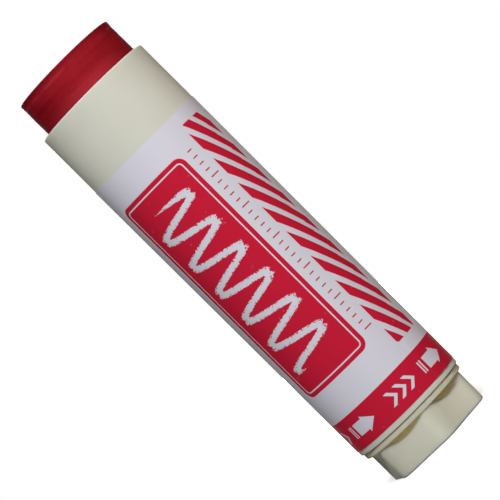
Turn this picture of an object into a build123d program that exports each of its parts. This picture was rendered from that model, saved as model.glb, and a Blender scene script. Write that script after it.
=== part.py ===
"""Twist-up marking crayon: a moulded tube, a hexagonal knob that turns a left-hand feed screw,
and a keyed carriage that lifts the hollow-cast crayon out of the tube's mouth.

Millimetres, +Z from the knob towards the crayon's tip, origin at the middle of the knob's foot.
"""
import os
from math import cos, radians, sin, tan

from build123d import *

# Knob: a hexagon with hollow faces and rounded corners under a round flange
knob_height = 8.7
knob_corner_radius = 15.3
knob_face_radius = 13.1
knob_corner_round = 3.0
knob_foot_round = 0.5
knob_draft_angle = 0.75
knob_first_corner_angle = -80.2
knob_sides = 6
knob_wall = 1.6
knob_cavity_corner_round = 1.4
knob_rib_thickness = 1.2
knob_rib_recess = 1.0
flange_diameter = 30.8
flange_thickness = 1.25
flange_edge_round = 0.4
hub_diameter = 9.6
hub_recess = 1.2
thrust_boss_diameter = 12.0

# Barrel: a drafted tube with a floor at the knob end and a plain cylindrical neck at the mouth
barrel_length = 105.7
barrel_base_diameter = 31.7
barrel_floor = 2.0
barrel_wall = 1.45
barrel_edge_round = 0.35
mouth_inner_chamfer = 0.2
neck_diameter = 32.2
neck_length = 17.45
keyway_count = 2
keyway_width = 2.6
keyway_depth = 0.6

# Label: a film round the drafted part of the barrel
label_base_margin = 1.45
label_film = 0.1
label_glue_line = 0.02

# Feed screw
thread_diameter = 9.0
thread_depth = 1.2
thread_lead = 5.0
thread_crest_arc = 100.0
thread_flank_arc = 45.0
screw_below_mouth = 16.0
pilot_length = 1.5
collar_diameter = 14.0
collar_thickness = 1.2
journal_diameter = 7.0
tail_flats = 5.2
tail_sides = 6

# Carriage
carriage_floor = 1.6
cup_height = 9.0
cup_wall = 1.1
sleeve_height = 10.0
sleeve_wall = 1.4
key_tab_height = 6.0

# Crayon
crayon_exposed = 9.6
crayon_tip_round = 0.9

# Clearances
flange_gap = 0.3
thrust_clearance = 0.1
collar_clearance = 0.05
journal_clearance = 0.06
tail_clearance = 0.02
bore_clearance = 0.15
keyway_clearance = 0.15
thread_radial_clearance = 0.2
thread_axial_clearance = 0.2
seat_clearance = 0.05
screw_to_crayon_clearance = 0.6
carriage_stop_clearance = 0.5
crayon_roof_clearance = 1.0

# Heights worked out from the sizes above
flange_top = knob_height + flange_thickness
barrel_base = flange_top + flange_gap
barrel_floor_top = barrel_base + barrel_floor
barrel_mouth = barrel_base + barrel_length
neck_start = barrel_mouth - neck_length
hub_top = barrel_base - thrust_clearance
collar_bottom = barrel_floor_top + collar_clearance
collar_top = collar_bottom + collar_thickness
screw_top = barrel_mouth - screw_below_mouth
thread_top = screw_top - pilot_length
carriage_bottom = collar_top + carriage_stop_clearance + crayon_exposed
carriage_floor_top = carriage_bottom + carriage_floor
cup_rim = carriage_bottom + cup_height
sleeve_top = carriage_bottom + sleeve_height
crayon_tip = barrel_mouth + crayon_exposed
crayon_bore_top = screw_top + crayon_exposed + crayon_roof_clearance

# Radii worked out from the sizes above
barrel_base_radius = barrel_base_diameter / 2
neck_radius = neck_diameter / 2
bore_neck_radius = neck_radius - barrel_wall
narrow_bore_radius = min(barrel_base_radius, neck_radius) - barrel_wall
keyway_radius = narrow_bore_radius + keyway_depth
guided_radius = narrow_bore_radius - bore_clearance
thread_radius = thread_diameter / 2
thread_root_radius = thread_radius - thread_depth
sleeve_radius = thread_radius + thread_radial_clearance + sleeve_wall
cup_inner_radius = guided_radius - cup_wall


def turned(*profile):
    """Solid of revolution about Z of a closed (radius, height) outline."""
    return revolve(make_face(Plane.XZ * Polyline(*profile, close=True)), Axis.Z)


def disc(radius, bottom, top):
    """Plain cylinder on the axis between two heights."""
    return Pos(0, 0, bottom) * Cylinder(radius, top - bottom, align=(Align.CENTER, Align.CENTER, Align.MIN))


def prism(sketch, bottom, top):
    """Straight prism of a sketch between two heights."""
    return extrude(Pos(0, 0, bottom) * sketch, top - bottom)


def barrel_radius(height):
    """Outer radius of the barrel: an even draft from the base to the neck, then a cylinder."""
    share = min((height - barrel_base) / (neck_start - barrel_base), 1)
    return barrel_base_radius + (neck_radius - barrel_base_radius) * share


def keys(outer_radius, width, bottom, top):
    """Bars through the axis, cut round at the outer radius, that fill or cut the keyways."""
    bars = [
        Rot(0, 0, 360 * index / keyway_count) * Pos(outer_radius / 2, 0, 0) * Rectangle(outer_radius, width)
        for index in range(keyway_count)
    ]
    return prism(Sketch() + bars & Circle(outer_radius), bottom, top)


def make_barrel():
    """Drafted tube with a floor, a bearing hole for the screw and keyways up to the mouth."""
    outside = turned(
        (0, barrel_base),
        (barrel_base_radius, barrel_base),
        (neck_radius, neck_start),
        (neck_radius, barrel_mouth),
        (0, barrel_mouth),
    )
    rims = outside.edges().filter_by(GeomType.CIRCLE).sort_by(Axis.Z)
    outside = fillet([rims[0], rims[-1]], barrel_edge_round)
    bore = turned(
        (0, barrel_floor_top),
        (barrel_radius(barrel_floor_top) - barrel_wall, barrel_floor_top),
        (bore_neck_radius, neck_start),
        (bore_neck_radius, barrel_mouth - mouth_inner_chamfer),
        (bore_neck_radius + mouth_inner_chamfer, barrel_mouth),
        (0, barrel_mouth),
    )
    bearing = disc(journal_diameter / 2 + journal_clearance, barrel_base, barrel_floor_top)
    return outside - bore - bearing - keys(keyway_radius, keyway_width, barrel_floor_top, barrel_mouth)


def make_label():
    """Film sleeve on the drafted part of the barrel, from just above the base to the neck."""
    bottom = barrel_base + label_base_margin
    inner_bottom = barrel_radius(bottom) + label_glue_line
    inner_top = neck_radius + label_glue_line
    return turned(
        (inner_bottom, bottom),
        (inner_bottom + label_film, bottom),
        (inner_top + label_film, neck_start),
        (inner_top, neck_start),
    )


def knob_section(inset, corner_round):
    """Hexagon whose faces bow inwards, drawn in by an inset, with rounded corners."""
    half_turn = 180 / knob_sides
    tip_loss = corner_round * (1 / cos(radians(half_turn)) - 1)
    corner = knob_corner_radius - inset + tip_loss
    face = knob_face_radius - inset
    sides = []
    for side in range(knob_sides):
        start = knob_first_corner_angle + 2 * half_turn * side
        stations = ((corner, start), (face, start + half_turn), (corner, start + 2 * half_turn))
        points = [(radius * cos(radians(angle)), radius * sin(radians(angle))) for radius, angle in stations]
        sides.append(ThreePointArc(*points))
    sketch = Sketch() + make_face(sides)
    return fillet(sketch.vertices(), corner_round)


def make_twist_knob():
    """Hollow hexagonal knob with a flange, a ribbed hub with a hexagonal socket and a thrust boss."""
    foot_inset = knob_height * tan(radians(knob_draft_angle))
    hexagon = loft([
        knob_section(foot_inset, knob_corner_round),
        Pos(0, 0, knob_height) * knob_section(0, knob_corner_round),
    ])
    hexagon = fillet(hexagon.edges().group_by(Axis.Z)[0], knob_foot_round)
    cavity = prism(knob_section(foot_inset + knob_wall, knob_cavity_corner_round), 0, knob_height)
    flange = disc(flange_diameter / 2, knob_height, flange_top)
    flange = fillet(flange.edges().filter_by(GeomType.CIRCLE), flange_edge_round)
    rib_length = knob_corner_radius - foot_inset - knob_wall / 2
    ribs = [
        Rot(0, 0, knob_first_corner_angle + 360 / knob_sides * side)
        * Pos(rib_length / 2, 0, 0)
        * Rectangle(rib_length, knob_rib_thickness)
        for side in range(knob_sides)
    ]
    knob = hexagon - cavity + flange
    knob += prism(Sketch() + ribs, knob_rib_recess, knob_height)
    knob += disc(hub_diameter / 2, hub_recess, flange_top)
    knob += disc(thrust_boss_diameter / 2, flange_top, hub_top)
    return knob - prism(tail_section(tail_clearance), 0, hub_top)


def tail_section(clearance):
    """Hexagon of the screw's tail, grown by a clearance for the socket that it is pushed into."""
    return RegularPolygon(tail_flats / 2 + clearance, tail_sides, major_radius=False)


def thread_section(radial_growth, axial_growth):
    """Section across the screw: a crest arc and a root arc joined by two flanks."""
    turn_growth = 360 * axial_growth / thread_lead
    crest_half = thread_crest_arc / 2 + turn_growth
    root_half = 180 - crest_half - thread_flank_arc
    crest = CenterArc((0, 0), thread_radius + radial_growth, -crest_half, 2 * crest_half)
    root = CenterArc((0, 0), thread_root_radius + radial_growth, 180 - root_half, 2 * root_half)
    return make_face([crest, Line(crest @ 1, root @ 0), root, Line(root @ 1, crest @ 0)])


def twisted_thread(bottom, top, radial_growth=0.0, axial_growth=0.0):
    """Left-hand thread: the section turns backwards by one turn for each lead that it rises."""
    start_turn = -360 * (bottom - collar_top) / thread_lead
    section = Pos(0, 0, bottom) * Rot(0, 0, start_turn) * thread_section(radial_growth, axial_growth)
    rise = top - bottom
    return Solid.extrude_linear_with_rotation(
        section.face(), (0, 0, bottom), (0, 0, rise), -360 * rise / thread_lead
    )


def make_lead_screw():
    """Feed screw: hexagonal tail, journal in the barrel's floor, thrust collar, thread and pilot."""
    tail = prism(tail_section(0), hub_recess, hub_top)
    journal = disc(journal_diameter / 2, hub_top, collar_bottom)
    collar = disc(collar_diameter / 2, collar_bottom, collar_top)
    pilot = disc(thread_root_radius, thread_top, screw_top)
    return Part() + twisted_thread(collar_top, thread_top) + [tail, journal, collar, pilot]


def make_carriage():
    """Cup for the crayon's foot with a threaded sleeve on the screw and tabs in the keyways."""
    cup = disc(guided_radius, carriage_bottom, cup_rim) - disc(cup_inner_radius, carriage_floor_top, cup_rim)
    tab_width = keyway_width - 2 * keyway_clearance
    tab_top = carriage_bottom + key_tab_height
    tabs = keys(keyway_radius - keyway_clearance, tab_width, carriage_bottom, tab_top)
    tabs -= disc(cup_inner_radius, carriage_bottom, tab_top)
    sleeve = disc(sleeve_radius, carriage_bottom, sleeve_top)
    cutter = twisted_thread(
        carriage_bottom - thread_lead,
        sleeve_top + thread_lead,
        thread_radial_clearance,
        thread_axial_clearance,
    )
    return cup + tabs + sleeve - cutter


def make_crayon():
    """Cast crayon: a stepped foot in the cup, a hollow over the screw and a rounded tip."""
    foot_radius = cup_inner_radius - seat_clearance
    body = disc(foot_radius, carriage_floor_top, cup_rim + seat_clearance)
    shaft = disc(guided_radius, cup_rim + seat_clearance, crayon_tip)
    body += fillet(shaft.edges().sort_by(Axis.Z)[-1], crayon_tip_round)
    body -= disc(sleeve_radius + seat_clearance, carriage_floor_top, sleeve_top + seat_clearance)
    return body - disc(thread_radius + screw_to_crayon_clearance, carriage_floor_top, crayon_bore_top)


pieces = {
    "barrel": make_barrel(),
    "label": make_label(),
    "twist_knob": make_twist_knob(),
    "lead_screw": make_lead_screw(),
    "carriage": make_carriage(),
    "crayon": make_crayon(),
}

os.makedirs("parts", exist_ok=True)
for name, piece in pieces.items():
    export_step(piece, f"parts/{name}.step")

print("crayon travel down", crayon_exposed, "and up", thread_top - sleeve_top, "at", thread_lead, "a turn")
print("overall height", crayon_tip, "crayon diameter", 2 * guided_radius, "neck from", neck_start)
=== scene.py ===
import math

import bpy
import numpy as np
from mathutils import Matrix, Vector


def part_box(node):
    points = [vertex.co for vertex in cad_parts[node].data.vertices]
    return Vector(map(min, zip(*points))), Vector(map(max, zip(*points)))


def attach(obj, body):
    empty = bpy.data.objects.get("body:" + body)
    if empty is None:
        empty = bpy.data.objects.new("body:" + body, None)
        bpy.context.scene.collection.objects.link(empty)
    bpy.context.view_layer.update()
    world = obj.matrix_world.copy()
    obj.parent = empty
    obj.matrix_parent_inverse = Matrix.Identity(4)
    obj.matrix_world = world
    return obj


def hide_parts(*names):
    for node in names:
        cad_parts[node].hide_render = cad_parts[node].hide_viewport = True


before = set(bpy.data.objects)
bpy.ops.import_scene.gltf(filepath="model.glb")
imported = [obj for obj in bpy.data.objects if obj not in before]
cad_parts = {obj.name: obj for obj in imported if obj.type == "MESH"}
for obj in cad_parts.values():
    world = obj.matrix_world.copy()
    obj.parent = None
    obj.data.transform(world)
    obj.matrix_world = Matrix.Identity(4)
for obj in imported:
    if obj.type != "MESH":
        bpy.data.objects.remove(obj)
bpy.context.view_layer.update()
millimetre = 0.001
print("frame loaded:", sorted(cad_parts))


def span(node):
    # bottom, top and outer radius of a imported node, in millimetres
    low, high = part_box(node)
    return low.z / millimetre, high.z / millimetre, high.x / millimetre


def srgb(red, green, blue):
    # a colour as a screen shows it, 0 to 255, turned into the linear one that shaders take
    parts = np.array([red, green, blue]) / 255
    linear = np.where(parts <= 0.04045, parts / 12.92, ((parts + 0.055) / 1.055) ** 2.4)
    return (*linear.tolist(), 1.0)


# Shader maths

class Term:
    # an output socket; sums and products of terms and numbers add Math nodes
    def __init__(self, finish, socket):
        self.finish = finish
        self.socket = socket

    def output(self, key):
        return Term(self.finish, self.socket.node.outputs[key])

    def __add__(self, other):
        return self.finish.maths("ADD", self, other)

    def __radd__(self, other):
        return self.finish.maths("ADD", other, self)

    def __sub__(self, other):
        return self.finish.maths("SUBTRACT", self, other)

    def __rsub__(self, other):
        return self.finish.maths("SUBTRACT", other, self)

    def __mul__(self, other):
        return self.finish.maths("MULTIPLY", self, other)

    def __rmul__(self, other):
        return self.finish.maths("MULTIPLY", other, self)

    def __truediv__(self, other):
        return self.finish.maths("DIVIDE", self, other)

    def __abs__(self):
        return self.finish.maths("ABSOLUTE", self)


class Finish:
    # the node tree of one material or world, filled by the calls below
    def __init__(self, owner):
        self.owner = owner
        owner.use_nodes = True
        self.tree = owner.node_tree
        self.tree.nodes.clear()

    def node(self, kind, settings=None, inputs=None, output=0):
        made = self.tree.nodes.new(kind)
        for key, value in (settings or {}).items():
            setattr(made, key, value)
        for key, value in (inputs or {}).items():
            if isinstance(value, Term):
                self.tree.links.new(value.socket, made.inputs[key])
            else:
                made.inputs[key].default_value = value
        return Term(self, made.outputs[output]) if made.outputs else None

    def maths(self, operation, *values, clamp=False):
        settings = {"operation": operation, "use_clamp": clamp}
        return self.node("ShaderNodeMath", settings, dict(enumerate(values)))

    def least(self, first, *others):
        for other in others:
            first = self.maths("MINIMUM", first, other)
        return first

    def most(self, first, *others):
        for other in others:
            first = self.maths("MAXIMUM", first, other)
        return first

    def distance(self, x, y):
        return self.maths("SQRT", x * x + y * y)

    def repeat(self, value, period):
        # value folded into one period about zero
        return self.maths("WRAP", value, period / 2, -period / 2)

    def ramp(self, value, low, high):
        # smooth rise from 0 at low to 1 at high
        return self.node("ShaderNodeMapRange", {"interpolation_type": "SMOOTHSTEP"}, {
            "Value": value, "From Min": low, "From Max": high,
        })

    def bell(self, value, middle, half):
        # 1 at middle, falling smoothly to 0 at half on either side
        return self.ramp(abs(value - middle), half, 0)

    def mask(self, depth, softness=0.06):
        # 1 where the depth inside a shape is positive, with a soft edge
        return self.maths("MULTIPLY_ADD", depth, 1 / softness, 0.5, clamp=True)

    def mix(self, share, first, second):
        # first colour at share 0, second at share 1
        return self.node("ShaderNodeMix", {"data_type": "RGBA"}, {0: share, 6: first, 7: second}, output=2)

    def place(self):
        return self.node("ShaderNodeTexCoord", output="Object")

    def parts(self, vector):
        split = self.node("ShaderNodeSeparateXYZ", {}, {0: vector})
        return [split.output(axis) for axis in "XYZ"]

    def noise(self, vector, size, stretch=(1, 1, 1), detail=3.0):
        # cloudy value about 0.5 whose spots are about size millimetres wide, drawn out by stretch
        scale = tuple(1 / (size * millimetre * part) for part in stretch)
        scaled = self.node("ShaderNodeVectorMath", {"operation": "MULTIPLY"}, {0: vector, 1: scale})
        return self.node("ShaderNodeTexNoise", {}, {"Vector": scaled, "Scale": 1.0, "Detail": detail})

    def bump(self, height, depth):
        # height from 0 to 1 stands for depth millimetres
        return self.node("ShaderNodeBump", {}, {"Height": height, "Distance": depth * millimetre})

    def surface(self, inputs):
        shader = self.node("ShaderNodeBsdfPrincipled", {}, inputs)
        self.node("ShaderNodeOutputMaterial", {}, {"Surface": shader})
        return self.owner


def newFinish(name):
    return Finish(bpy.data.materials.new(name))


# Meshes from whole arrays of points

sharpAngle = math.radians(35)
quarter = np.radians(np.linspace(0, 90, 7))[:, None]    # steps round a quarter circle


def straight(start, end, count):
    # evenly spaced points from start towards end, end left out
    share = np.arange(count)[:, None] / count
    return np.array(start) * (1 - share) + np.array(end) * share


def rounding(centre, radius, fromAngle, toAngle, count):
    # points on an arc about centre, the last left out
    angle = np.radians(np.linspace(fromAngle, toAngle, count, endpoint=False))
    return np.array(centre) + radius * np.stack([np.cos(angle), np.sin(angle)], axis=1)


def fullTurn(columns):
    return np.radians(np.arange(columns) * 360 / columns)[None, :]


def turned(radius, height, theta):
    # radius and height at each (row, column), at the angle theta to the right of the front
    points = np.broadcast_arrays(radius * np.sin(theta), -radius * np.cos(theta), height)
    return np.stack(points, axis=-1) * millimetre


def turnedBands(bands, theta):
    # bands of rows, one after the other;
    # a band's radius may change with angle and row, its heights only by row
    grids = [np.broadcast_arrays(radius, np.reshape(height, (-1, 1)), theta) for radius, height in bands]
    radius, height = [np.concatenate([grid[part] for grid in grids]) for part in (0, 1)]
    return turned(radius, height, theta)


def quads(rows, columns, closeAlong, closeAround):
    # each grid cell's four corners, rows running up the outside and columns to the right
    row = np.arange(rows if closeAlong else rows - 1)[:, None]
    column = np.arange(columns if closeAround else columns - 1)[None, :]
    nextRow, nextColumn = (row + 1) % rows, (column + 1) % columns
    corners = [row * columns + column, row * columns + nextColumn,
               nextRow * columns + nextColumn, nextRow * columns + column]
    return np.stack(np.broadcast_arrays(*corners), axis=-1).reshape(-1, 4)


def loopFaces(points):
    # faces of a grid that closes on itself both along its rows and round its columns
    return quads(*points.shape[:2], True, True).tolist()


def closeEnds(points):
    # a grid that closes round its columns and has its first and last rows each drawn into one point
    rows, columns = points.shape[:2]
    spare = columns - 1
    faces = np.clip(quads(rows, columns, False, True), spare, (rows - 1) * columns) - spare
    vertices = np.concatenate([points[0, :1], points[1:-1].reshape(-1, 3), points[-1, :1]])
    return vertices, [list(dict.fromkeys(face)) for face in faces.tolist()]


def addPiece(name, points, faces, material, body, slot, node):
    mesh = bpy.data.meshes.new(name)
    mesh.from_pydata(points.reshape(-1, 3).tolist(), [], faces)
    mesh.polygons.foreach_set("use_smooth", np.ones(len(mesh.polygons), bool))
    mesh.set_sharp_from_angle(angle=sharpAngle)
    mesh.materials.append(material)
    mesh.update()
    piece = bpy.data.objects.new(name, mesh)
    bpy.context.scene.collection.objects.link(piece)
    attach(piece, body)
    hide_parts(node)
    print(name, "made with", len(mesh.polygons), "faces")
    return piece


# Ivory tube

barrel = {
    "baseRadius": 15.85,
    "wall": 1.45,
    "floor": 2.0,
    "baseRound": 0.25,
    "mouthRound": 0.35,
    "mouthChamfer": 0.2,
    "neckLength": 17.45,
    "keywayWidth": 2.6,
    "keywayRadius": 15.0,
    "bearingRadius": 3.56,
    "columns": 360,
}

ivory = {
    "colour": srgb(205, 205, 195),
    "shade": srgb(200, 199, 188),
    # painted shade: a darker warm colour laid over the knob's flange and all above its underside
    "warmShade": srgb(198, 188, 150),
    # painted light: a paler warm colour laid in the flange's shadow on the knob, a painted glow for light
    # through the plastic
    "shadowGlow": srgb(255, 238, 172),
    "roughness": 0.45,
    "specular": 0.005,
    "glow": 0.3,                    # share of light that spreads under the surface
    "glowRadius": (1.0, 0.9, 0.6),
    "glowDepth": 1.5,
    "cloudSize": 9.0,
    "grainSize": 0.35,
    "drawnSize": 0.5,
    "drawnStretch": (1, 1, 40),
    "drawnGloss": 0.12,             # how far the draw marks change the roughness
    "grainRelief": 0.6,
    "drawnRelief": 0.4,
    "reliefDepth": 0.012,
}


def ivoryPlastic(name, tones, paintedLight=None):
    # satin polyethylene: faint clouds in the colour, fine mould grain and light draw marks along Z;
    # tones holds its two tones and its glow, and paintedLight lays a piece's painted shade and light over
    # them
    finish = newFinish(name)
    place = finish.place()
    cloud = finish.noise(place, ivory["cloudSize"])
    grain = finish.noise(place, ivory["grainSize"], detail=2.0)
    drawn = finish.noise(place, ivory["drawnSize"], ivory["drawnStretch"], detail=2.0)
    relief = grain * ivory["grainRelief"] + drawn * ivory["drawnRelief"]
    colour = finish.mix(cloud, tones["shade"], tones["colour"])
    if paintedLight:
        colour = paintedLight(finish, place, colour)
    return finish.surface({
        "Base Color": colour,
        "Roughness": ivory["roughness"] + ivory["drawnGloss"] * (drawn - 0.5),
        "Specular IOR Level": ivory["specular"],
        "Subsurface Weight": tones["glow"],
        "Subsurface Radius": ivory["glowRadius"],
        "Subsurface Scale": tones["glowDepth"] * millimetre,
        "Normal": finish.bump(relief, ivory["reliefDepth"]),
    })


def makeBarrel(material):
    # a closed outline in radius and height turned about Z; in the bore the radius steps out at two keyways
    base, mouth, neckRadius = span("barrel")
    neckStart = mouth - barrel["neckLength"]
    floorTop = base + barrel["floor"]
    baseRadius, bearing = barrel["baseRadius"], barrel["bearingRadius"]
    low, high, chamfer = barrel["baseRound"], barrel["mouthRound"], barrel["mouthChamfer"]
    bore = neckRadius - barrel["wall"]
    boreBase = baseRadius - barrel["wall"]
    outside = np.concatenate([
        straight((bearing, base), (baseRadius - low, base), 6),
        rounding((baseRadius - low, base + low), low, -90, 0, 8),
        straight((baseRadius, base + low), (neckRadius, neckStart), 44),
        straight((neckRadius, neckStart), (neckRadius, mouth - high), 14),
        rounding((neckRadius - high, mouth - high), high, 0, 90, 8),
        straight((neckRadius - high, mouth), (bore + chamfer, mouth), 4),
    ])
    inside = np.concatenate([
        straight((bore + chamfer, mouth), (bore, mouth - chamfer), 4),
        straight((bore, mouth - chamfer), (bore, neckStart), 10),
        straight((bore, neckStart), (boreBase, floorTop), 30),
        [(boreBase, floorTop)],
    ])
    floor = np.concatenate([
        straight((boreBase, floorTop), (bearing, floorTop), 5)[1:],
        straight((bearing, floorTop), (bearing, base), 3),
    ])
    outline = np.concatenate([outside, inside, floor])
    theta = fullTurn(barrel["columns"])
    radius = np.repeat(outline[:, :1], barrel["columns"], axis=1)
    bores = slice(len(outside), len(outside) + len(inside))
    keyed = np.abs(np.cos(theta)) * barrel["keywayRadius"] < barrel["keywayWidth"] / 2
    radius[bores] = np.where(keyed, np.maximum(radius[bores], barrel["keywayRadius"]), radius[bores])
    points = turned(radius, outline[:, 1:], theta)
    addPiece("barrel_tube", points, loopFaces(points), material, "barrel", "ivory_plastic", "barrel")


makeBarrel(ivoryPlastic("ivory_plastic", ivory))


# Film label, wound once round the tube and a little over its own start

label = {
    "film": 0.1,
    "glue": 0.02,
    "seamAngle": 58.0,
    "overlapAngle": 18.0,
    "liftAngle": 6.0,
    "topLean": 0.5,                 # the upper edge is cut a little lower at the front than behind
    "columns": 379,
    "rows": 45,
    "printUnit": 100.0,             # millimetres in one unit of the print's UV map
}

# the print is drawn in millimetres: x round to the right of the front, y up from the film's lower edge
art = {
    "white": srgb(205, 203, 215),
    "red": srgb(188, 29, 54),
    "roughness": 0.32,
    "specular": 0.003,
    "bandTop": 8.6,
    "arrowHeight": 4.3,
    "arrowFirst": -10.7,
    "arrowCount": 4,
    "shaftHalf": 1.66,
    "shaftTail": -3.6,
    "shaftOverlap": 0.5,
    "headHalf": 2.35,
    "headTip": 3.4,
    "barHalf": 0.2,
    "barGaps": (1.07, 1.83),
    "chevronHalf": 1.9,
    "chevronWidth": 1.1,
    "chevronSpacing": 2.9,
    "chevronCount": 3,
    "panel": (-18.8, 4.2, 16.8, 79.0),
    "panelCorner": 2.4,
    "keylineInset": 1.3,
    "keylineHalf": 0.17,
    "waveMiddle": -7.3,
    "waveReach": 6.2,
    "wavePeriod": 8.6,
    "waveEnds": (23.0, 73.0),
    "waveHalf": 0.95,
    "waveSoft": 0.2,
    "waveRagged": 0.5,
    "waveBody": 0.35,               # how much less the grain breaks the stroke up towards its middle
    "waveGrain": (0.44, 0.56),
    "column": (9.6, 19.0, 12.2, 83.4),
    "columnCorner": 0.8,
    "stripePeriod": 4.4,
    "stripeHalf": 1.35,
    "stripeSlope": 0.55,
    "tickColumn": (5.9, 7.3, 20.0, 78.0),
    "tickLong": 1.0,
    "tickSpacing": 2.0,
    "tickGroup": 5,
    "tickHalf": 0.16,
    "formBox": (-47.0, -30.0, 19.0, 78.0),
    "formCorner": 1.5,
    "formLine": 0.3,
    "formSpacing": 7.0,
    "spot": (34.0, 47.0, 8.0),
    "roughSize": 0.9,
    "roughGloss": 0.1,
    "grainSize": 0.4,
    "grainRelief": 0.15,
    "wrinkleSize": 6.0,
    "wrinkleStretch": (1, 1, 3),
    "wrinkleRelief": 0.85,
    "reliefDepth": 0.05,
    "scuffSize": 1.3,
    "scuffRange": (0.68, 0.76),
    "scuffShare": 0.15,
    "scuffGloss": 0.2,
}


def boxDepth(finish, x, y, box, corner):
    # depth inside a rectangle with rounded corners, in millimetres
    left, right, bottom, top = box
    overX = abs(x - (left + right) / 2) - ((right - left) / 2 - corner)
    overY = abs(y - (bottom + top) / 2) - ((top - bottom) / 2 - corner)
    flat = finish.least(finish.most(overX, overY), 0.0)
    return corner - finish.distance(finish.most(overX, 0.0), finish.most(overY, 0.0)) - flat


def arrowDepth(finish, x, y):
    # depth inside an arrow to the right: a shaft, a head that starts at x = 0, and two bars behind
    rise = abs(y)
    shaft = finish.least(art["shaftHalf"] - rise, x - art["shaftTail"], art["shaftOverlap"] - x)
    narrowing = art["headHalf"] / art["headTip"]
    head = finish.least(x, art["headHalf"] - narrowing * x - rise)
    depth = finish.most(shaft, head)
    for gap in art["barGaps"]:
        bar = finish.least(art["barHalf"] - abs(x - art["shaftTail"] + gap), art["shaftHalf"] - rise)
        depth = finish.most(depth, bar)
    return depth


def bandRed(finish, x, y, spacing):
    # a plain band round the foot with white arrows, and white chevrons between each two
    along = finish.repeat(x - art["arrowFirst"], spacing)
    level = y - art["arrowHeight"]
    arrows = arrowDepth(finish, along, level)
    swept = finish.repeat(x - art["arrowFirst"] - spacing / 2, spacing) + abs(level)
    swept = swept - art["chevronHalf"] / 2
    chevrons = finish.least(
        art["chevronWidth"] / 2 - abs(finish.repeat(swept, art["chevronSpacing"])),
        art["chevronHalf"] - abs(level),
        art["chevronCount"] / 2 * art["chevronSpacing"] - abs(swept),
    )
    return finish.mask(finish.least(art["bandTop"] - y, 0 - finish.most(arrows, chevrons)))


def panelRed(finish, x, y, rough, grain):
    # a rounded panel with a thin white line inside its edge and a broad white crayon wave along it,
    # whose stroke is whole in its middle and broken up by the grain towards its edges
    depth = boxDepth(finish, x, y, art["panel"], art["panelCorner"])
    keyline = art["keylineHalf"] - abs(depth - art["keylineInset"])
    turn = 2 * math.pi / art["wavePeriod"]
    phase = y * turn
    offset = x - art["waveMiddle"] - art["waveReach"] * finish.maths("SINE", phase)
    slope = art["waveReach"] * turn * finish.maths("COSINE", phase)
    away = abs(offset) / finish.maths("SQRT", 1 + slope * slope)
    low, high = art["waveEnds"]
    stroke = finish.least(art["waveHalf"] - away, y - low, high - y) + art["waveRagged"] * (rough - 0.5)
    caught = finish.ramp(grain + art["waveBody"] * stroke, *art["waveGrain"])
    waxed = finish.mask(stroke, art["waveSoft"]) * caught
    return finish.mask(depth) * (1 - finish.mask(keyline)) * (1 - waxed)


def columnRed(finish, x, y):
    # slanting stripes in a tall column
    stripes = art["stripeHalf"] - abs(finish.repeat(x + y * art["stripeSlope"], art["stripePeriod"]))
    return finish.mask(finish.least(boxDepth(finish, x, y, art["column"], art["columnCorner"]), stripes))


def ticksRed(finish, x, y):
    # a plain scale of short marks, each fifth one longer
    left, right, bottom, top = art["tickColumn"]
    near = abs(finish.repeat(y - bottom, art["tickSpacing"]))
    nearLong = abs(finish.repeat(y - bottom, art["tickSpacing"] * art["tickGroup"]))
    reach = right + art["tickLong"] * finish.mask(art["tickSpacing"] / 2 - nearLong) - x
    ends = finish.least(y - bottom + art["tickHalf"], top + art["tickHalf"] - y)
    return finish.mask(finish.least(art["tickHalf"] - near, x - left, reach, ends))


def backRed(finish, x, y):
    # behind: a ruled box to write in and a round spot of the colour
    corner, line, bottom = art["formCorner"], art["formLine"], art["formBox"][2]
    depth = boxDepth(finish, x, y, art["formBox"], corner)
    frameLine = line - abs(depth - line)
    rules = finish.least(depth - corner, line / 2 - abs(finish.repeat(y - bottom, art["formSpacing"])))
    spotX, spotY, spotRadius = art["spot"]
    spot = spotRadius - finish.distance(x - spotX, y - spotY)
    return finish.mask(finish.most(frameLine, rules, spot))


def labelFilm(circumference):
    # satin white film; the print's parts are laid over each other, and the ink is a little uneven
    finish = newFinish("label_film")
    place = finish.place()
    across, up = finish.parts(finish.node("ShaderNodeUVMap", {"uv_map": "print"}))[:2]
    x = finish.repeat(across * label["printUnit"], circumference)
    y = up * label["printUnit"]
    rough = finish.noise(place, art["roughSize"], detail=4.0)
    grain = finish.noise(place, art["grainSize"], detail=2.0)
    red = finish.most(
        bandRed(finish, x, y, circumference / art["arrowCount"]), panelRed(finish, x, y, rough, grain),
        columnRed(finish, x, y), ticksRed(finish, x, y), backRed(finish, x, y),
    )
    scuff = finish.noise(place, art["scuffSize"], detail=5.0)
    scuff = finish.ramp(scuff, *art["scuffRange"]) * art["scuffShare"]
    wrinkle = finish.noise(place, art["wrinkleSize"], art["wrinkleStretch"], detail=1.0)
    relief = wrinkle * art["wrinkleRelief"] + grain * art["grainRelief"]
    gloss = art["roughGloss"] * (rough - 0.5) + art["scuffGloss"] * scuff
    return finish.surface({
        "Base Color": finish.mix(red * (1 - scuff), art["white"], art["red"]),
        "Roughness": art["roughness"] + gloss,
        "Specular IOR Level": art["specular"],
        "Normal": finish.bump(relief, art["reliefDepth"]),
    })


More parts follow.
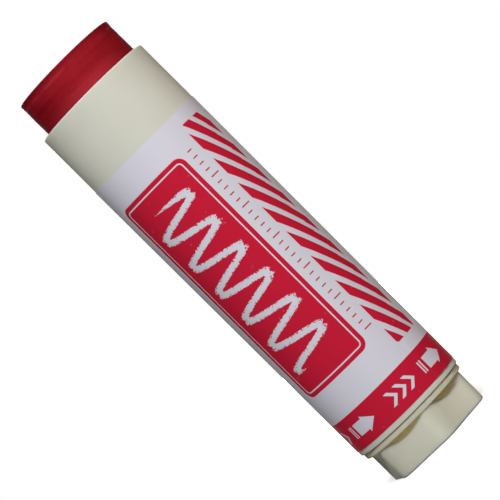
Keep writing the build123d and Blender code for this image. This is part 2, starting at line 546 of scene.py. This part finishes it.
def makeLabel():
    # radius follows the drafted tube; the last few degrees climb over the film's own start;
    # rows are the outer face from bottom to top, then the two edges of the inner face
    bottom, top, topRadius = span("label")
    base, mouth, neckRadius = span("barrel")
    neckStart = mouth - barrel["neckLength"]
    first = label["seamAngle"] - label["overlapAngle"]
    last = first + 360 + label["overlapAngle"]
    turn = np.linspace(first, last, label["columns"])[None, :]
    climb = np.clip((turn - first - 360 + label["liftAngle"]) / label["liftAngle"], 0, 1)
    lift = climb * climb * (3 - 2 * climb) * (label["film"] + label["glue"])
    theta = np.radians(turn)
    share = np.concatenate([np.linspace(0, 1, label["rows"]), [1, 0]])[:, None]
    depth = np.concatenate([np.full(label["rows"], label["film"]), [0, 0]])[:, None]
    edge = top + label["topLean"] * (0.5 - np.cos(theta))
    height = bottom + (edge - bottom) * share
    draft = np.minimum((height - base) / (neckStart - base), 1)
    tube = barrel["baseRadius"] + (neckRadius - barrel["baseRadius"]) * draft
    points = turned(tube + label["glue"] + depth + lift, height, theta)
    rows, columns = points.shape[:2]
    faces = quads(rows, columns, True, False).tolist()
    faces.append([row * columns for row in range(rows)])
    faces.append([row * columns + columns - 1 for row in reversed(range(rows))])
    around = 2 * math.pi * topRadius
    piece = addPiece("label_film", points, faces, labelFilm(around), "barrel", "label_film", "label")
    spread = np.stack(np.broadcast_arrays((turn - 360) / 360 * around, height - bottom), axis=-1)
    corner = np.empty(len(piece.data.loops), np.int32)
    piece.data.loops.foreach_get("vertex_index", corner)
    flat = spread.reshape(-1, 2)[corner] / label["printUnit"]
    piece.data.uv_layers.new(name="print").data.foreach_set("uv", flat.ravel())


makeLabel()


# Crayon

crayon = {
    "footRadius": 13.1,
    "footHeight": 7.45,
    "sleeveRadius": 6.15,
    "sleeveDepth": 8.45,
    "boreRadius": 5.1,
    "roof": 15.0,
    "tipRound": 0.2,
    "flare": 0.05,                  # the tip's edge stands out a little over a slight waist
    "flareBelow": 0.6,
    "flareHigh": 0.5,
    "waist": 0.04,
    "waistBelow": 2.0,
    "waistHigh": 0.7,
    "dish": 0.3,
    "dishWave": 0.3,
    "dishBelow": 0.002,             # rows nearer the top than this take part in the dish
    "smear": 0.015,
    "smearWaves": ((3, 0.35, 0), (5, -0.8, 1)),    # waves round, radians for each millimetre down, start
    "ripple": 1.9,                  # radians for each millimetre down
    "rippleSway": 2,
    "fineBelow": 14.0,
    "columns": 288,
}

wax = {
    "colour": srgb(137, 21, 31),
    "dark": srgb(117, 13, 21),
    # the pale ring's colour, also used for the painted pool of bounced light at the front
    "pale": srgb(190, 62, 78),
    # painted light: the paler colour of the front side
    "paintedLitSide": srgb(184, 42, 54),
    "roughness": 0.36,
    "specular": 0.001,
    "edge": srgb(104, 14, 22),
    "streakSize": 1.8,              # smears round the stick
    "streakStretch": (10, 10, 0.6),
    "streakShare": 0.45,
    "streakGloss": 0.25,
    "streakRelief": 0.75,
    "patchSize": 8.0,
    "patchShare": 0.35,
    "pitSize": 0.4,
    "pitShare": 0.2,
    "pitRelief": 0.25,
    "reliefDepth": 0.035,
    "toneRange": (0.38, 0.6),
    "fade": 0.4,                    # a mark near the tip fades in over the rest of its depth
    "faceBelow": 0.6,               # the tip's face is rubbed one way, not round
    "faceSize": 1.6,
    "faceStretch": (9, 0.7, 9),
    "edgeBelow": 1.3,               # the tip's edge is darker
    "edgeShare": 0.45,
    "ringBelow": 1.8,               # a pale ring below the tip
    "ringHalf": 0.7,
    "ringPatches": (0.4, 0.55),
    "ringShare": 0.3,
    "bounceSpotBelow": 8.4,              # painted light: a soft pale pool at the front, where the crayon leaves the tube, for light bounced off its rim
    "bounceSpotHigh": 2.4,
    "bounceSpotWide": 19.0,
    "bounceSpotShare": 0.25,
    "litSideRight": 3.0,             # painted light: the front side painted paler, its middle to the right of the front
    "litSideWide": 15.0,
    "litSideShare": 0.26,
}


def paintWax():
    # dark red wax: soft smear streaks round the stick, one way on its face, with small pits;
    # over them a paler front side, a pale ring, a pale pool at the front near the tube and a darker edge;
    # the paler front side and the pool are painted light
    finish = newFinish("red_wax")
    place = finish.place()
    tip, radius = span("crayon")[1:]
    x, y, z = [part / millimetre for part in finish.parts(place)]
    below = tip - z
    # the front, which faces the camera and the key lamp
    front = finish.ramp(y, 0, -radius)
    onFace = finish.ramp(below, wax["faceBelow"], wax["fade"] * wax["faceBelow"])
    onEdge = finish.ramp(below, wax["edgeBelow"], wax["fade"] * wax["edgeBelow"])
    streak = finish.noise(place, wax["streakSize"], wax["streakStretch"], detail=4.0)
    rub = finish.noise(place, wax["faceSize"], wax["faceStretch"], detail=4.0)
    streak = streak + (rub - streak) * onFace
    patch = finish.noise(place, wax["patchSize"])
    pit = finish.noise(place, wax["pitSize"], detail=2.0)
    blend = streak * wax["streakShare"] + patch * wax["patchShare"] + pit * wax["pitShare"]
    ring = finish.bell(below, wax["ringBelow"], wax["ringHalf"]) * finish.ramp(patch, *wax["ringPatches"])
    # painted light: the pale pool of bounced light at the front by the tube's mouth
    bounceSpot = finish.bell(below, wax["bounceSpotBelow"], wax["bounceSpotHigh"]) * front
    bounceSpot = bounceSpot * finish.bell(x, 0, wax["bounceSpotWide"])
    # painted light: paler on the front side, where the lamps fall
    paintedLitSide = finish.bell(x, wax["litSideRight"], wax["litSideWide"]) * front
    pale = finish.most(wax["ringShare"] * ring, wax["bounceSpotShare"] * bounceSpot)
    colour = finish.mix(finish.ramp(blend, *wax["toneRange"]), wax["dark"], wax["colour"])
    colour = finish.mix(paintedLitSide * wax["litSideShare"], colour, wax["paintedLitSide"])
    colour = finish.mix(pale, colour, wax["pale"])
    return finish.surface({
        "Base Color": finish.mix(onEdge * wax["edgeShare"], colour, wax["edge"]),
        "Roughness": wax["roughness"] + wax["streakGloss"] * (streak - 0.5),
        "Specular IOR Level": wax["specular"],
        "Normal": finish.bump(streak * wax["streakRelief"] + pit * wax["pitRelief"], wax["reliefDepth"]),
    })


def makeCrayon(material):
    # outline from the roof of the hollow, down it, under the foot, up the side and over the tip,
    # turned about Z; the side swells by bell curves under the tip and by slow waves in angle and height
    foot, tip, radius = span("crayon")
    edge = crayon["tipRound"]
    stations = [
        (0, tip - crayon["roof"], 3),
        (crayon["boreRadius"], tip - crayon["roof"], 4),
        (crayon["boreRadius"], foot + crayon["sleeveDepth"], 2),
        (crayon["sleeveRadius"], foot + crayon["sleeveDepth"], 3),
        (crayon["sleeveRadius"], foot, 4),
        (crayon["footRadius"], foot, 4),
        (crayon["footRadius"], foot + crayon["footHeight"], 2),
        (radius, foot + crayon["footHeight"], 60),
        (radius, tip - crayon["fineBelow"], 84),
        (radius, tip - edge, 0),
    ]
    runs = [straight(here[:2], there[:2], here[2]) for here, there in zip(stations, stations[1:])]
    outline = np.concatenate(runs + [
        rounding((radius - edge, tip - edge), edge, 0, 90, 12),
        straight((radius - edge, tip), (0, tip), 28),
        [(0, tip)],
    ])
    theta = fullTurn(crayon["columns"])
    across, height = outline[:, :1], outline[:, 1:]
    below = tip - height
    bells = crayon["flare"] * np.exp(-((below - crayon["flareBelow"]) / crayon["flareHigh"]) ** 2)
    bells -= crayon["waist"] * np.exp(-((below - crayon["waistBelow"]) / crayon["waistHigh"]) ** 2)
    waves = np.sin(crayon["ripple"] * below + crayon["rippleSway"] * np.sin(theta))
    for around, down, start in crayon["smearWaves"]:
        waves = waves + np.sin(around * theta + down * below + start)
    onSide = (across > crayon["footRadius"]) & (below < tip - foot - crayon["footHeight"])
    swollen = across + np.where(onSide, bells + crayon["smear"] * waves, 0)
    ratio = across / radius
    bowl = crayon["dish"] * (1 - ratio ** 2) * (1 + crayon["dishWave"] * np.sin(2 * theta + across) * ratio)
    onTip = (below < crayon["dishBelow"]) & (across < radius)
    points = turned(swollen, height - np.where(onTip, bowl, 0), theta)
    addPiece("wax_crayon", *closeEnds(points), material, "feed", "red_wax", "crayon")


makeCrayon(paintWax())


# Knob: a hollow hexagon with bowed-in faces under a round flange, with a ribbed hub inside

knob = {
    "sides": 6,
    "cornerAngle": 9.8,             # one corner stands this far to the right of the front
    "cornerRadius": 15.3,
    "faceRadius": 13.5,
    "cornerRound": 5.0,
    "draft": math.tan(math.radians(0.75)),
    "wall": 1.6,
    "innerRound": 1.4,
    "lipRound": 0.3,
    "footRound": 0.5,
    "flangeThickness": 1.48,
    "flangeGap": 0.07,
    "flangeRound": 0.25,
    "hubRadius": 4.8,
    "hubRecess": 1.2,
    "bossRadius": 6.0,
    "socketFlats": 5.24,
    "ribHalf": 0.6,
    "ribRecess": 1.0,
    "ribRound": 0.3,
    # painted light: the paler warm glow in the flange's shadow, reaching furthest down in the middle of
    # each hollow face
    "shadowGlowDrop": 2.5,
    "shadowGlowSoft": 0.9,
    "shadowGlowOuter": 15.0,
    "shadowGlowInner": 12.7,
    "shadowGlowShare": 0.8,
    "underFlangeSoft": 0.1,
    # the knob's two tones are paler than the tube's same plastic, to make up for the painted shade on its
    # faces
    "colour": srgb(218, 217, 203),
    "shade": srgb(213, 211, 196),
    "glow": 0.9,
    "glowDepth": 3.0,
    "faceShade": srgb(167, 164, 149),
    "faceShare": 0.52,              # painted shade: each face is darkest just right of a corner
    "faceStart": 0.14,
    "faceRise": 0.25,
    # painted shade: share of the darker warm colour over the flange
    "flangeWarmShade": 0.4,
    "columns": 720,
}

flangeTop = span("barrel")[0] - knob["flangeGap"]
flangeUnder = flangeTop - knob["flangeThickness"]
footInset = flangeUnder * knob["draft"]


def knobPaintedLight(finish, place, colour):
    # painted shade that starts at each corner and fades along the face to its right, a darker warm painted
    # shade over the flange, and a paler warm painted glow in the flange's shadow under it: tallest in the
    # middle of each hollow face, nothing at the corners
    x, y, z = [part / millimetre for part in finish.parts(place)]
    recess = finish.ramp(finish.distance(x, y), knob["shadowGlowOuter"], knob["shadowGlowInner"])
    drop = flangeUnder - z
    # painted glow in the flange's cast shadow
    shadowGlowMask = finish.ramp(knob["shadowGlowDrop"] * recess - drop, 0, knob["shadowGlowSoft"])
    below = finish.mask(drop, knob["underFlangeSoft"])
    turn = finish.maths("ARCTAN2", x, 0 - y) - math.radians(knob["cornerAngle"])
    faces = turn * (knob["sides"] / (2 * math.pi)) + knob["sides"]
    along = finish.maths("FRACT", faces + knob["faceStart"])
    # painted shade along each face, strongest just right of its corner
    paintedFaceShade = finish.ramp(along, 0, knob["faceRise"]) * (1 - along) * knob["faceShare"]
    colour = finish.mix(paintedFaceShade * below, colour, knob["faceShade"])
    # painted shade over the flange and everything above its underside
    colour = finish.mix(knob["flangeWarmShade"] * (1 - below), colour, ivory["warmShade"])
    return finish.mix(shadowGlowMask * below * knob["shadowGlowShare"], colour, ivory["shadowGlow"])


def bowedHexagon(theta, inset, cornerRound):
    # distance from the axis to a hexagon drawn in by inset: each face is an arc about a centre outside,
    # and each corner is a small circle that touches the arcs on either side
    half = math.pi / knob["sides"]
    corner = knob["cornerRadius"] - inset + cornerRound * (1 / math.cos(half) - 1)
    face = knob["faceRadius"] - inset
    sag = corner * math.cos(half) - face
    bow = ((corner * math.sin(half)) ** 2 + sag ** 2) / (2 * sag)
    centre = face + bow
    circle = centre * math.cos(half) - np.sqrt((bow + cornerRound) ** 2 - (centre * math.sin(half)) ** 2)
    share = bow / (bow + cornerRound)
    touchAlong = centre + (circle * math.cos(half) - centre) * share
    touch = np.arctan2(circle * math.sin(half) * share, touchAlong)
    off = np.abs(np.mod(theta - math.radians(knob["cornerAngle"]), 2 * half) - half)
    onFace = centre * np.cos(off) - np.sqrt(bow ** 2 - (centre * np.sin(off)) ** 2)
    reach = np.sqrt(np.maximum(cornerRound ** 2 - (circle * np.sin(half - off)) ** 2, 0))
    return np.where(off < touch, onFace, circle * np.cos(half - off) + reach)


def plainHexagon(theta, flats):
    # distance from the axis to a hexagon with a face to the front
    turn = math.pi / 3
    return flats / 2 / np.cos(np.mod(theta + turn / 2, turn) - turn / 2)


def makeKnob(material):
    # bands of rows that close on themselves: down the socket, up the hub, along the ceiling,
    # down the hollow, round the foot, up the drafted outside, round the flange and over the boss
    bossTop, flangeRadius = span("twist_knob")[1:]
    theta = fullTurn(knob["columns"])
    socket = plainHexagon(theta, knob["socketFlats"])
    hollow = bowedHexagon(theta, footInset + knob["wall"], knob["innerRound"])
    foot = bowedHexagon(theta, footInset, knob["cornerRound"])
    lip, edge, rim = knob["lipRound"], knob["footRound"], knob["flangeRound"]
    wall = np.linspace(edge, flangeUnder, 16)[1:, None]
    points = turnedBands([
        (socket, [bossTop, knob["hubRecess"]]),
        (knob["hubRadius"], [knob["hubRecess"], flangeUnder]),
        (hollow, flangeUnder),
        (hollow + lip * (1 - np.cos(quarter)), lip * (1 - np.sin(quarter))),
        (foot - edge * (1 - np.sin(quarter)), edge * (1 - np.cos(quarter))),
        (bowedHexagon(theta, (flangeUnder - wall) * knob["draft"], knob["cornerRound"]), wall),
        (flangeRadius - rim * (1 - np.sin(quarter)), flangeUnder + rim * (1 - np.cos(quarter))),
        (flangeRadius - rim * (1 - np.cos(quarter)), flangeTop - rim * (1 - np.sin(quarter))),
        (knob["bossRadius"], [flangeTop, bossTop]),
    ], theta)
    addPiece("knob_shell", points, loopFaces(points), material, "knob", "ivory_plastic", "twist_knob")


def makeRibs(material):
    # an upright section with a rounded lower edge, carried from the hub out to each corner of the wall
    low, half, edge = knob["ribRecess"], knob["ribHalf"], knob["ribRound"]
    top = flangeUnder + edge
    section = np.concatenate([
        rounding((half - edge, low + edge), edge, -90, 0, 6),
        [(half, low + edge), (half, top), (-half, top)],
        rounding((edge - half, low + edge), edge, 180, 270, 6),
        [(edge - half, low)],
    ])
    ends = [knob["hubRadius"] - half, knob["cornerRadius"] - footInset - knob["wall"] / 2]
    out = np.array(ends)[None, :, None]
    turn = np.radians(knob["cornerAngle"] + 360 / knob["sides"] * np.arange(knob["sides"]))[:, None, None]
    across, height = section[:, 0], section[:, 1]
    x = out * np.sin(turn) + across * np.cos(turn)
    y = across * np.sin(turn) - out * np.cos(turn)
    points = np.stack(np.broadcast_arrays(x, y, height), axis=-1) * millimetre
    count = len(section)
    ring = list(range(count))
    one = quads(2, count, False, True).tolist() + [ring[::-1], [count + step for step in ring]]
    faces = [[rib * 2 * count + index for index in face] for rib in range(knob["sides"]) for face in one]
    addPiece("knob_ribs", points, faces, material, "knob", "ivory_plastic", "twist_knob")


knobPlastic = ivoryPlastic("knob_plastic", knob, knobPaintedLight)
makeKnob(knobPlastic)
makeRibs(knobPlastic)


# Screw and carriage

screw = {
    "crest": 4.5,
    "root": 3.3,
    "crestHalf": 50.0,
    "flankArc": 45.0,
    "lead": 5.0,
    "tailFlats": 5.2,
    "journalRadius": 3.5,
    "collarThickness": 1.2,
    "collarLift": 0.05,
    "pilot": 1.5,
    "pilotRadius": 3.2,
    "pilotRound": 0.5,
    "columns": 96,
    "rowsPerTurn": 24,
}

carriage = {
    "radius": 14.25,
    "floor": 1.6,
    "cupWall": 1.1,
    "cupHeight": 9.0,
    "rimRound": 0.3,
    "sleeveRadius": 6.1,
    "tabRadius": 14.85,
    "tabHalf": 1.15,
    "tabHeight": 6.0,
    "tabSlope": 0.3,
    "threadRoom": 0.2,
    "columns": 360,
    "rows": 64,
}

moulding = {
    "colour": srgb(218, 217, 209),
    "shade": srgb(206, 205, 196),
    "roughness": 0.45,
    "specular": 0.2,
    "cloudSize": 5.0,
    "grainSize": 0.3,
    "grainGloss": 0.15,
    "grainDepth": 0.01,
}

collarTop = span("barrel")[0] + barrel["floor"] + screw["collarLift"] + screw["collarThickness"]


def plainMoulding():
    # natural plastic with faint clouds and a fine grain
    finish = newFinish("screw_plastic")
    place = finish.place()
    cloud = finish.noise(place, moulding["cloudSize"])
    grain = finish.noise(place, moulding["grainSize"], detail=2.0)
    return finish.surface({
        "Base Color": finish.mix(cloud, moulding["shade"], moulding["colour"]),
        "Roughness": moulding["roughness"] + moulding["grainGloss"] * (grain - 0.5),
        "Specular IOR Level": moulding["specular"],
        "Normal": finish.bump(grain, moulding["grainDepth"]),
    })


def threadRadius(theta, height, room=0.0):
    # a crest arc and a root arc joined by straight flanks; the section turns once backwards for each lead,
    # and room makes it larger all over, for the nut
    crest, root = screw["crest"] + room, screw["root"] + room
    crestEnd = math.radians(screw["crestHalf"] + 360 * room / screw["lead"])
    rootStart = crestEnd + math.radians(screw["flankArc"])
    start = crest * np.array([math.cos(crestEnd), math.sin(crestEnd)])
    end = root * np.array([math.cos(rootStart), math.sin(rootStart)])
    normal = np.array([start[1] - end[1], end[0] - start[0]])
    turn = theta - math.pi / 2 + 2 * math.pi * (height - collarTop) / screw["lead"]
    off = np.abs(np.mod(turn + math.pi, 2 * math.pi) - math.pi)
    flankOff = np.clip(off, crestEnd, rootStart)
    flank = (start @ normal) / (normal[0] * np.cos(flankOff) + normal[1] * np.sin(flankOff))
    return np.where(off < crestEnd, crest, np.where(off > rootStart, root, flank))


def makeScrew(material):
    # bands of rows up the outside: hexagonal tail, journal, collar, thread and pilot
    bottom, top, collarRadius = span("lead_screw")
    tailTop = span("twist_knob")[1]
    collarBottom = collarTop - screw["collarThickness"]
    threadTop = top - screw["pilot"]
    theta = fullTurn(screw["columns"])
    tail = plainHexagon(theta, screw["tailFlats"])
    turns = (threadTop - collarTop) / screw["lead"]
    rise = np.linspace(collarTop, threadTop, round(turns * screw["rowsPerTurn"]))[:, None]
    pilot, edge = screw["pilotRadius"], screw["pilotRound"]
    points = turnedBands([
        (0, bottom),
        (tail, [bottom, tailTop]),
        (screw["journalRadius"], [tailTop, collarBottom]),
        (collarRadius, [collarBottom, collarTop]),
        (threadRadius(theta, rise), rise),
        (pilot, threadTop),
        (pilot - edge * (1 - np.cos(quarter)), top - edge * (1 - np.sin(quarter))),
        (0, top),
    ], theta)
    addPiece("feed_screw", *closeEnds(points), material, "knob", "screw_plastic", "lead_screw")


def makeCarriage(material):
    # bands that close on themselves: down the nut's thread, out under the floor, up the side,
    # which stands out at two tabs, over the rim, down into the cup and up the sleeve
    bottom, sleeveTop = span("carriage")[:2]
    theta = fullTurn(carriage["columns"])
    outer, edge = carriage["radius"], carriage["rimRound"]
    tabs = np.abs(np.cos(theta)) * carriage["tabRadius"] < carriage["tabHalf"]
    side = np.where(tabs, carriage["tabRadius"], outer)
    tabTop = bottom + carriage["tabHeight"]
    rim = bottom + carriage["cupHeight"]
    floorTop = bottom + carriage["floor"]
    sink = np.linspace(sleeveTop, bottom, carriage["rows"])[:, None]
    points = turnedBands([
        (threadRadius(theta, sink, carriage["threadRoom"]), sink),
        (side, [bottom, tabTop]),
        (outer, tabTop + carriage["tabSlope"]),
        (outer - edge * (1 - np.cos(quarter)), rim - edge * (1 - np.sin(quarter))),
        (outer - carriage["cupWall"], [rim, floorTop]),
        (carriage["sleeveRadius"], [floorTop, sleeveTop]),
    ], theta)
    addPiece("crayon_carriage", points, loopFaces(points), material, "feed", "screw_plastic", "carriage")


screwPlastic = plainMoulding()
makeScrew(screwPlastic)
makeCarriage(screwPlastic)


# Stage: a pale floor, soft light and the camera

studio = {
    "cameraDistance": 0.72,
    "cameraHeight": 0.0695,
    "aimHeight": 0.06339,
    "lens": 219.2,
    "lean": 44.86,                  # the tube runs down to the right at this angle
    "fill": 0.02,
    "lamps": {                      # level on a white face, degrees right of the front and up, colour
        "key": (0.965, -1.0, 38.0, (0.94, 0.97, 1)),
        "front": (0.16, -10.0, 0.0, (1, 0.95, 0.8)),
        "side": (0.26, 76.0, 34.0, (1, 0.83, 0.66)),
        "back": (0.7, 180.0, 8.0, (1, 1, 1)),
    },
    "lampDistance": 1.0,
    "lampSize": 0.2,
    "floorBounce": (0.135, 0.115, 0.081, 1),
    "floorShown": 0.7,
    "floorLift": 0.5,
    "shadowReach": 0.1,
    "floorHalf": 0.8,
}


def makeCamera():
    # looks at the upright tube from the front, rolled so that the knob points down to the right
    lean = math.radians(studio["lean"])
    place = Vector((0, -studio["cameraDistance"], studio["cameraHeight"]))
    ahead = (Vector((0, 0, studio["aimHeight"])) - place).normalized()
    sideways = Vector((1, 0, 0))
    knobward = ahead.cross(sideways)
    right = math.cos(lean) * knobward + math.sin(lean) * sideways
    above = math.cos(lean) * sideways - math.sin(lean) * knobward
    camera = bpy.data.objects.new("camera", bpy.data.cameras.new("camera"))
    camera.data.lens = studio["lens"]
    camera.matrix_world = Matrix.Translation(place) @ Matrix((right, above, -ahead)).transposed().to_4x4()
    bpy.context.scene.collection.objects.link(camera)
    bpy.context.scene.camera = camera


def makeLamp(name, level, right, above, colour):
    # a round soft lamp turned to the object, strong enough for a white face there to show its level
    right, above = math.radians(right), math.radians(above)
    flat = math.cos(above)
    towards = Vector((math.sin(right) * flat, -math.cos(right) * flat, math.sin(above)))
    lamp = bpy.data.objects.new(name, bpy.data.lights.new(name, "AREA"))
    lamp.data.shape = "DISK"
    lamp.data.size = studio["lampSize"]
    lamp.data.color = colour
    lamp.data.energy = level * (math.pi * studio["lampDistance"]) ** 2
    lamp.location = Vector((0, 0, studio["aimHeight"])) + towards * studio["lampDistance"]
    lamp.rotation_euler = towards.to_track_quat("Z", "Y").to_euler()
    bpy.context.scene.collection.objects.link(lamp)


def seenDirectly(finish):
    # 1 for what the camera, a mirror or glass sees, 0 for the light that falls on things
    path = finish.node("ShaderNodeLightPath")
    return finish.most(*[path.output(f"Is {kind} Ray") for kind in ("Camera", "Glossy", "Transmission")])


def makeWorld():
    # plain fill light, which the camera and mirrors see as white
    finish = Finish(bpy.data.worlds.new("studio"))
    level = studio["fill"] + (1 - studio["fill"]) * seenDirectly(finish)
    light = finish.node("ShaderNodeBackground", {}, {"Color": (1, 1, 1, 1), "Strength": level})
    finish.node("ShaderNodeOutputWorld", {}, {"Surface": light})
    bpy.context.scene.world = finish.owner


def makeFloor():
    # a pale floor that the camera sees lifted to white, with the shadow left in it round the object
    finish = newFinish("floor")
    shown, lift = [(studio[key],) * 3 + (1,) for key in ("floorShown", "floorLift")]
    x, y = finish.parts(finish.place())[:2]
    away = finish.ramp(finish.distance(x, y), 0, studio["shadowReach"])
    plain = finish.node("ShaderNodeBsdfDiffuse", {}, {"Color": studio["floorBounce"]})
    faint = finish.node("ShaderNodeBsdfDiffuse", {}, {"Color": shown})
    lifted = finish.node("ShaderNodeEmission", {}, {"Color": finish.mix(away, lift, (1, 1, 1, 1))})
    pale = finish.node("ShaderNodeAddShader", {}, {0: faint, 1: lifted})
    either = finish.node("ShaderNodeMixShader", {}, {0: seenDirectly(finish), 1: plain, 2: pale})
    finish.node("ShaderNodeOutputMaterial", {}, {"Surface": either})
    half = studio["floorHalf"]
    corners = [(-half, -half, 0), (half, -half, 0), (half, half, 0), (-half, half, 0)]
    mesh = bpy.data.meshes.new("floor")
    mesh.from_pydata(corners, [], [(0, 1, 2, 3)])
    mesh.materials.append(finish.owner)
    floor = bpy.data.objects.new("floor", mesh)
    bpy.context.scene.collection.objects.link(floor)


makeCamera()
for name, values in studio["lamps"].items():
    makeLamp(name, *values)
makeWorld()
makeFloor()
bpy.context.scene.view_settings.view_transform = "Standard"
print("stage set")
